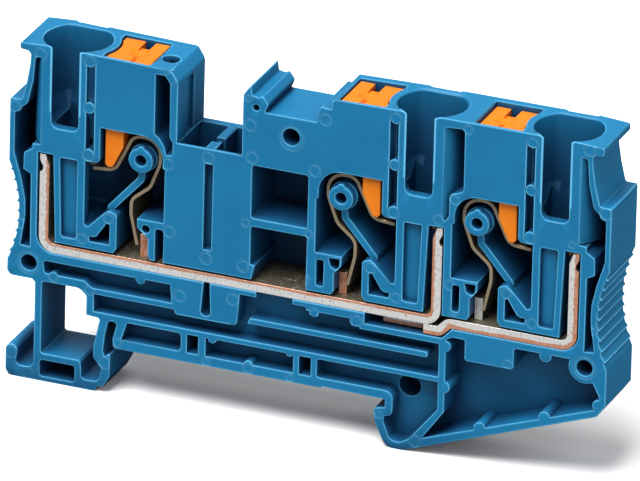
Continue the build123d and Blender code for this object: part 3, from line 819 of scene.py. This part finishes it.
@dataclass
class Housing:
    """The blue moulding, with rounded edges and its ejector marks, with sizes in millimetres."""

    finish: MouldedPlastic
    connections: list[Connection]
    node: str = "housing"
    edge_round: float = 0.07
    top_round: float = 0.22
    top_from: float = 33.0
    top_length: float = 2.0
    slim_half: float = 0.85
    slim_depth: float = 1.8
    slim_from: float = 28.7
    groove: float = 0.06

    def wall_marks(self) -> list[Mark]:
        """Lists the ejector marks on the walls and ribs between the connections.

        Returns:
            The marks.
        """
        listed = (
            (0.65, 34.0, 0.7), (3.75, 41.1, 0.7), (19.7, 41.0, 0.7), (19.7, 30.3, 0.7),
            (20.07, 21.9, 0.7), (24.7, 32.07, 0.7), (24.7, 19.4, 0.7), (29.3, 19.3, 0.7),
            (29.4, 40.4, 0.37), (29.8, 37.1, 0.7), (30.1, 33.1, 0.7), (37.9, 32.9, 0.7),
            (39.0, 39.5, 0.7), (29.5, 24.8, 0.5), (37.3, 24.9, 0.5), (36.97, 19.1, 0.6),
            (53.2, 29.7, 0.6), (55.1, 32.55, 0.55), (56.5, 41.55, 0.55), (71.3, 41.8, 0.7),
            (73.5, 34.3, 0.7), (69.5, 29.7, 0.4), (54.75, 21.8, 0.6), (55.36, 18.7, 0.55),
            (1.67, 19.4, 0.6), (72.2, 19.4, 0.5), (5.8, 13.45, 0.55), (10.3, 12.6, 0.55),
            (21.55, 14.1, 0.7), (28.1, 14.9, 0.7), (38.2, 15.1, 0.6), (43.4, 15.1, 0.7),
            (62.1, 13.36, 0.5), (51.05, 1.47, 0.7), (46.5, 3.97, 0.45), (13.9, 6.7, 0.55),
            (24.98, 6.43, 0.45), (30.24, 6.64, 0.6), (35.45, 6.43, 0.45), (12.4, 3.85, 0.7),
            (0.7, 3.0, 0.7), (2.9, 0.7, 0.7), (2.7, 14.65, 1.35), (71.5, 14.65, 1.35),
            (34.9, 36.35, 1.47),
        )
        return [Mark(x, z, radius) for x, z, radius in listed]

    def groove_rings(self, marks: Iterable[Mark]) -> bpy.types.Object:
        """Makes the rings that press the marks into the front.

        Args:
            marks: The marks.

        Returns:
            All the rings, joined as one cutter.
        """
        rings = []
        for mark in marks:
            deselect()
            bpy.ops.mesh.primitive_torus_add(
                location=place(mark.x, mark.z, 0.0),
                rotation=(math.pi / 2, 0.0, 0.0),
                major_radius=mark.radius * MM,
                minor_radius=self.groove * MM,
                major_segments=28,
                minor_segments=8,
            )
            bpy.ops.object.transform_apply(location=True, rotation=True, scale=True)
            rings.append(bpy.context.object)
        activate(rings[0])
        for ring in rings:
            ring.select_set(True)
        bpy.ops.object.join()
        cutter = bpy.context.object
        cutter.name = "mark_cutter"
        return cutter

    def on_top(self, start: Vector, end: Vector) -> bool:
        """Finds the long edges that run back along the upper outline.

        Args:
            start: One end of the edge.
            end: Its other end.

        Returns:
            True for such an edge.
        """
        way = (end - start) / MM
        low = (min(start.z, end.z) - CAD_BOX[0].z) / MM
        return low > self.top_from and abs(way.y) > self.top_length and way.xz.length < SLACK

    def stays_sharp(self, point: Vector, marks: list[Mark], grooves: list[float]) -> bool:
        """Finds the points on the groove of a mark or in the slim groove beside a funnel.

        Args:
            point: The point.
            marks: The ejector marks.
            grooves: Middle of each slim groove, in millimetres from the left end.

        Returns:
            True where an edge is too fine to be rounded.
        """
        across, depth, height = (point - CAD_BOX[0]) / MM
        if depth > self.slim_depth:
            return False
        if height > self.slim_from and any(abs(across - groove) < self.slim_half for groove in grooves):
            return True
        reach = self.groove + SLACK
        if depth > reach:
            return False
        away = [math.hypot(across - mark.x, height - mark.z) - mark.radius for mark in marks]
        return any(abs(distance) < reach for distance in away)

    def press_marks(self, shell: bpy.types.Object, marks: list[Mark]) -> None:
        """Presses the marks into the front of the moulding.

        Args:
            shell: The moulding.
            marks: The ejector marks.
        """
        cutter = self.groove_rings(marks)
        cut = shell.modifiers.new("marks", "BOOLEAN")
        cut.operation = "DIFFERENCE"
        cut.solver = "EXACT"
        cut.object = cutter
        apply_modifiers(shell)
        bpy.data.objects.remove(cutter)

    def round_off(self, shell: bpy.types.Object, marks: list[Mark]) -> None:
        """Rounds the upper outline, then every sharp edge away from the marks and slim grooves.

        Args:
            shell: The moulding.
            marks: The ejector marks.
        """
        grooves = [item.middle() + item.side.value * item.groove_out for item in self.connections]

        def coarse(start: Vector, end: Vector) -> bool:
            """Says whether an edge is away from the marks and the slim grooves."""
            return not all(self.stays_sharp(point, marks, grooves) for point in (start, end))

        split_concave(shell)
        round_edges(shell, self.top_round * MM, segments=3, wanted=self.on_top)
        round_edges(shell, self.edge_round * MM, wanted=coarse)

    def build(self) -> bpy.types.Object:
        """Builds the moulding.

        Returns:
            The moulding.
        """
        shell = node_copy(self.node, "housing_moulding")
        marks = self.wall_marks()
        for connection in self.connections:
            marks += connection.marks()
        self.press_marks(shell, marks)
        self.round_off(shell, marks)
        soften_shading(shell)
        dress(shell, self.finish.material())
        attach(shell, "body")
        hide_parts(self.node)
        return shell


@dataclass
class CurrentBar:
    """One tinned copper bar that joins the connections, with sizes in millimetres.

    A bar with a step has no left leg, so its U is open far to the left.
    """

    node: str
    finish: PlatedBar
    step: Span | None = None
    open_left: float = 50.0
    edge_round: float = 0.07

    def build(self) -> bpy.types.Object:
        """Builds the bar.

        Returns:
            The bar.
        """
        bar = node_copy(self.node, self.node + "_plated")
        round_edges(bar, self.edge_round * MM, sharp=50.0)
        soften_shading(bar)
        low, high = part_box(self.node)
        if self.step is None:
            material = self.finish.material((low.x, high.x), low.z, NO_STEP)
        else:
            step = (place(self.step[0], 0.0).x, place(self.step[1], 0.0).x)
            sides = (low.x - self.open_left * MM, high.x)
            material = self.finish.material(sides, low.z + self.finish.thickness, step)
        dress(bar, material)
        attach(bar, "body")
        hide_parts(self.node)
        return bar


@dataclass
class ClampSpring:
    """The leaf spring of one connection.

    Its sizes are in millimetres, and the last two are counted from the funnel's middle.
    """

    connection: Connection
    edge_round: float = 0.04
    still_out: float = 9.05
    pressed_out: float = 7.1

    def build(self, material: bpy.types.Material) -> bpy.types.Object:
        """Builds the spring.

        Args:
            material: Its material.

        Returns:
            The spring.
        """
        node = "clamp_spring_" + self.connection.name
        spring = node_copy(node, node + "_strip")
        round_edges(spring, self.edge_round * MM, sharp=60.0)
        soften_shading(spring)
        dress(spring, material)
        middle = self.connection.middle()
        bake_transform(spring)
        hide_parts(node)
        return spring


@dataclass
class ReleaseLever:
    """The push lever of one connection, with sizes in millimetres."""

    connection: Connection
    edge_round: float = 0.12

    def build(self, material: bpy.types.Material) -> bpy.types.Object:
        """Builds the lever.

        Args:
            material: Its material.

        Returns:
            The lever.
        """
        node = "release_lever_" + self.connection.name
        lever = node_copy(node, node + "_moulding")
        round_edges(lever, self.edge_round * MM)
        soften_shading(lever)
        dress(lever, material)
        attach(lever, self.connection.name + "_lever")
        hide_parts(node)
        return lever


@dataclass
class Studio:
    """Pale floor, soft lights and the camera, with angles in degrees."""

    surface: StudioSurface
    azimuth: float = 21.5
    elevation: float = 24.2
    roll: float = 1.5
    lens: float = 1000.0
    sensor: float = 36.0
    pixels_per_mm: float = 8.72
    image_width: int = 640
    shift_up: float = 1.0
    floor_size: float = 3.0
    sky_light: float = 0.42
    sky_right: float = 0.3
    key_power: float = 4.9
    key_spread: float = 38.0
    key_from: Triple = (-0.13, -0.38, 0.915)
    fill_power: float = 1.3
    fill_spread: float = 70.0
    fill_from: Triple = (0.86, -0.3, 0.42)

    def build_floor(self) -> None:
        """Lays the pale floor under the block."""
        deselect()
        bpy.ops.mesh.primitive_plane_add(size=self.floor_size, location=(0.0, 0.0, CAD_BOX[0].z))
        floor = bpy.context.object
        floor.name = "studio_floor"
        bpy.ops.object.mode_set(mode="EDIT")
        bpy.ops.mesh.subdivide(number_cuts=4)
        bpy.ops.object.mode_set(mode="OBJECT")
        bpy.ops.object.transform_apply(location=True, rotation=True, scale=True)
        floor.data.materials.append(self.surface.material())

    def add_light(self, name: str, power: float, spread: float, come_from: Triple) -> None:
        """Adds a wide soft light that is even all over the floor.

        Args:
            name: The light's name.
            power: Strength in watts to the square metre.
            spread: How wide the light is, in degrees.
            come_from: Where it comes from.
        """
        lamp = bpy.data.lights.new(name, "SUN")
        lamp.angle = math.radians(spread)
        lamp.energy = power
        holder = bpy.data.objects.new(name, lamp)
        holder.location = Vector(come_from)
        holder.rotation_euler = (-Vector(come_from)).to_track_quat("-Z", "Y").to_euler()
        bpy.context.scene.collection.objects.link(holder)

    def build_lights(self) -> None:
        """Sets the white surroundings and the lights."""
        world = bpy.data.worlds.new("white_room")
        bpy.context.scene.world = world
        world.use_nodes = True
        graph = Graph(world.node_tree)
        seen = graph.node("LightPath").outputs["Is Camera Ray"]
        way = graph.node("SeparateXYZ", {"Vector": graph.node("TexCoord").outputs["Generated"]})
        around = graph.ramp(way.outputs["X"], -0.4, 0.6, self.sky_light, self.sky_right)
        room = graph.math("MULTIPLY", around, graph.math("SUBTRACT", 1.0, seen))
        strength = graph.math("ADD", room, seen)
        sky = graph.node("Background", {"Color": (1.0, 1.0, 1.0, 1.0), "Strength": strength})
        output = graph.node("OutputWorld")
        graph.feed(output.inputs["Surface"], sky.outputs["Background"])
        self.add_light("key_above", self.key_power, self.key_spread, self.key_from)
        self.add_light("fill_right", self.fill_power, self.fill_spread, self.fill_from)

    def build_camera(self) -> None:
        """Places the camera at the photograph's viewing angle."""
        low, high = CAD_BOX
        target = (low + high) / 2
        turn = math.radians(self.azimuth)
        rise = math.radians(self.elevation)
        back = Vector((math.sin(turn) * math.cos(rise), -math.cos(turn) * math.cos(rise), math.sin(rise)))
        distance = self.image_width * self.lens / self.sensor / (self.pixels_per_mm / MM)
        data = bpy.data.cameras.new("photo_camera")
        data.lens = self.lens
        data.sensor_width = self.sensor
        data.clip_start = 0.1
        data.clip_end = 20.0
        camera = bpy.data.objects.new("photo_camera", data)
        turned = (-back).to_track_quat("-Z", "Y")
        above = turned @ Vector((0.0, 1.0, 0.0))
        aim = target + above * self.shift_up * MM
        camera.location = aim + back * distance
        rolled = turned @ Quaternion((0.0, 0.0, 1.0), math.radians(self.roll))
        camera.rotation_euler = rolled.to_euler()
        bpy.context.scene.collection.objects.link(camera)
        bpy.context.scene.camera = camera

    def build(self) -> None:
        """Sets up the studio."""
        self.build_floor()
        self.build_lights()
        self.build_camera()
        settings = bpy.context.scene.view_settings
        settings.view_transform = "Standard"
        settings.look = "None"
        LOG.info("studio: floor, lights and camera")


# Each plastic finish has a colour for painted shade in recesses and creases and one for a painted highlight
# on outer edges.
BLUE = MouldedPlastic(
    name="polyamide_blue",
    base=from_srgb(20, 113, 157),
    clouded=from_srgb(17, 107, 151),
    painted_shade=from_srgb(17, 44, 80),
    edge=from_srgb(105, 190, 232),
)
ORANGE = MouldedPlastic(
    name="polyamide_orange",
    base=from_srgb(228, 123, 19),
    clouded=from_srgb(221, 114, 15),
    painted_shade=from_srgb(190, 70, 8),
    edge=from_srgb(252, 178, 80),
    edge_highlight_share=0.4,
    cavity_shade_share=0.7,
)
MAIN_BAR = PlatedBar(
    name="tinned_copper_main",
    tin=from_srgb(249, 248, 244),
    tin_dull=from_srgb(164, 152, 138),
    flat=from_srgb(96, 90, 74),
    copper=from_srgb(225, 142, 98),
    copper_from=0.7,
    copper_to=9.0,
    thickness=1.2 * MM,
    corner=2.0 * MM,
)
BRANCH_BAR = replace(MAIN_BAR, name="tinned_copper_branch", copper_from=-0.5, copper_to=0.42)
SPRING = SpringStrip(
    name="spring_steel_strip",
    flat=from_srgb(110, 99, 84),
    cut=from_srgb(208, 188, 154),
    streak=from_srgb(136, 124, 106),
)
PALE_FLOOR = StudioSurface(
    name="floor_pale",
    colour=from_srgb(249, 249, 249),
    shade=from_srgb(246, 246, 247),
    thrown=from_srgb(150, 152, 155),
    mirrored=from_srgb(60, 61, 63),
)


def main() -> None:
    """Builds the block piece by piece and sets up the studio."""
    logging.basicConfig(level=logging.INFO, format="%(message)s")
    connections = [
        Connection("left", Side.LEVER_RIGHT),
        Connection("middle", Side.LEVER_LEFT),
        Connection("right", Side.LEVER_LEFT),
    ]
    Housing(BLUE, connections).build()
    CurrentBar("busbar_main", MAIN_BAR).build()
    CurrentBar("busbar_branch", BRANCH_BAR, step=(53.5, 54.8)).build()
    spring_material = SPRING.material()
    lever_material = ORANGE.material()
    for connection in connections:
        ClampSpring(connection).build(spring_material)
        ReleaseLever(connection).build(lever_material)
    Studio(PALE_FLOOR).build()


if __name__ == "__main__":
    main()
